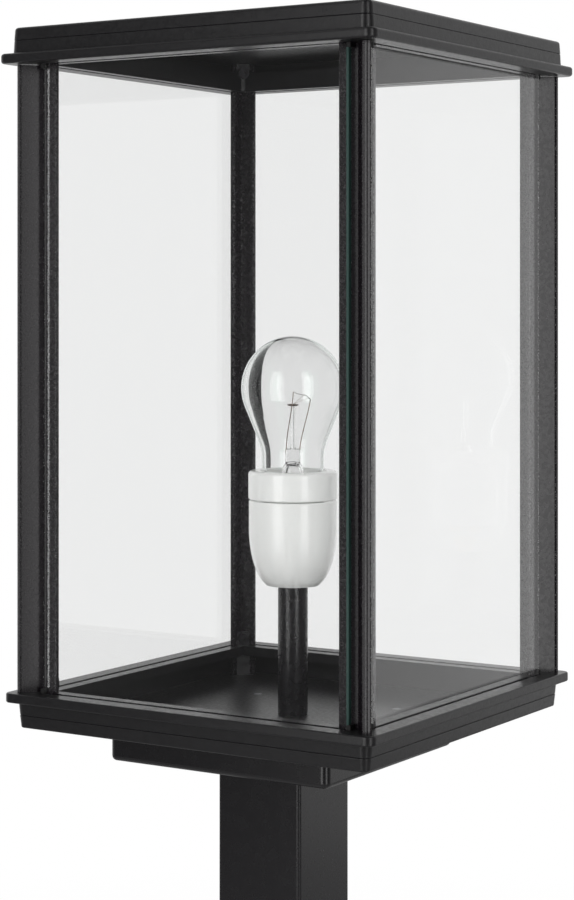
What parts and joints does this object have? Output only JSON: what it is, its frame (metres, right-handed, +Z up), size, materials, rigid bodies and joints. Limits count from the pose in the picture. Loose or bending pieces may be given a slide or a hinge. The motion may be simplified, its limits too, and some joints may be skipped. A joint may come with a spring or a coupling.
{
  "type": "post-top lantern",
  "caption": "Square glazed garden lantern on a short square column, with a lift-off roof and a screw-in bulb in a porcelain holder.",
  "frame": {"origin": "on the ground, under the middle of the head", "axes": "+Z up along the column; -Y and +X out of the two glazed faces that the reference view shows"},
  "size_m": [0.247, 0.247, 0.8],
  "materials": {
    "black_coat": "fine-textured satin black powder coat",
    "zinc_steel": "zinc-plated steel",
    "brass": "plain brass",
    "cap_nickel": "bright lamp cap",
    "porcelain": "glazed white porcelain",
    "pane_glass": "clear float glass, faint green edge",
    "lamp_glass": "clear lamp glass",
    "rubber": "black rubber",
    "white_plastic": "white polyamide",
    "black_insulator": "black vitrite glass",
    "wire": "nickel and molybdenum wire",
    "tungsten": "coiled tungsten"
  },
  "bodies": {
    "stand": {"base_flange": "black_coat", "column_tube": "black_coat", "head_plate": "black_coat", "floor_tray": "black_coat", "post_front_left": "black_coat", "post_front_right": "black_coat", "post_back_left": "black_coat", "post_back_right": "black_coat", "stem_tube": "black_coat", "tray_studs": "zinc_steel", "stud_nuts": "zinc_steel", "block_screw": "zinc_steel", "corner_screws_low": "zinc_steel", "stem_washer": "zinc_steel", "stem_nut": "zinc_steel", "terminal_screws": "zinc_steel", "earth_screw": "brass", "threaded_tube": "brass", "holder_nut": "brass", "holder_shell": "brass", "centre_contact": "brass", "holder_terminals": "brass", "terminal_block": "white_plastic", "tube_bush": "white_plastic", "pane_cushions": "rubber", "pane_stops": "rubber", "pane_front": "pane_glass", "pane_right": "pane_glass", "pane_back": "pane_glass", "pane_left": "pane_glass", "holder_cup": "porcelain", "holder_ring": "porcelain", "holder_insert": "porcelain"},
    "roof": {"roof_cap": "black_coat", "roof_stops": "rubber", "corner_screws_high": "zinc_steel"},
    "neck_cover": {"neck_box": "black_coat", "neck_set_screw": "zinc_steel"},
    "bulb_foot": {"bulb_tip": "cap_nickel"},
    "bulb": {"bulb_cap": "cap_nickel", "bulb_insulator": "black_insulator", "bulb_glass": "lamp_glass", "bulb_stem": "lamp_glass", "lead_wires": "wire", "support_wires": "wire", "filament": "tungsten"}
  },
  "joints": [
    {"name": "roof_lift", "type": "slide", "parent": "stand", "child": "roof", "axis": [0, 0, 1], "range_m": [0, 0.06]},
    {"name": "neck_cover_drop", "type": "slide", "parent": "stand", "child": "neck_cover", "axis": [0, 0, -1], "range_m": [0, 0.08]},
    {"name": "bulb_rise", "type": "slide", "parent": "stand", "child": "bulb_foot", "axis": [0, 0, 1], "range_m": [0, 0.022]},
    {"name": "bulb_turn", "type": "hinge", "parent": "bulb_foot", "child": "bulb", "pos_m": [0, 0, 0.6], "axis": [0, 0, 1], "range_deg": [0, 2182]}
  ],
  "couplings": [
    {"joint": "bulb_rise", "follows": "bulb_turn", "m_per_rad": 0.00057757}
  ]
}
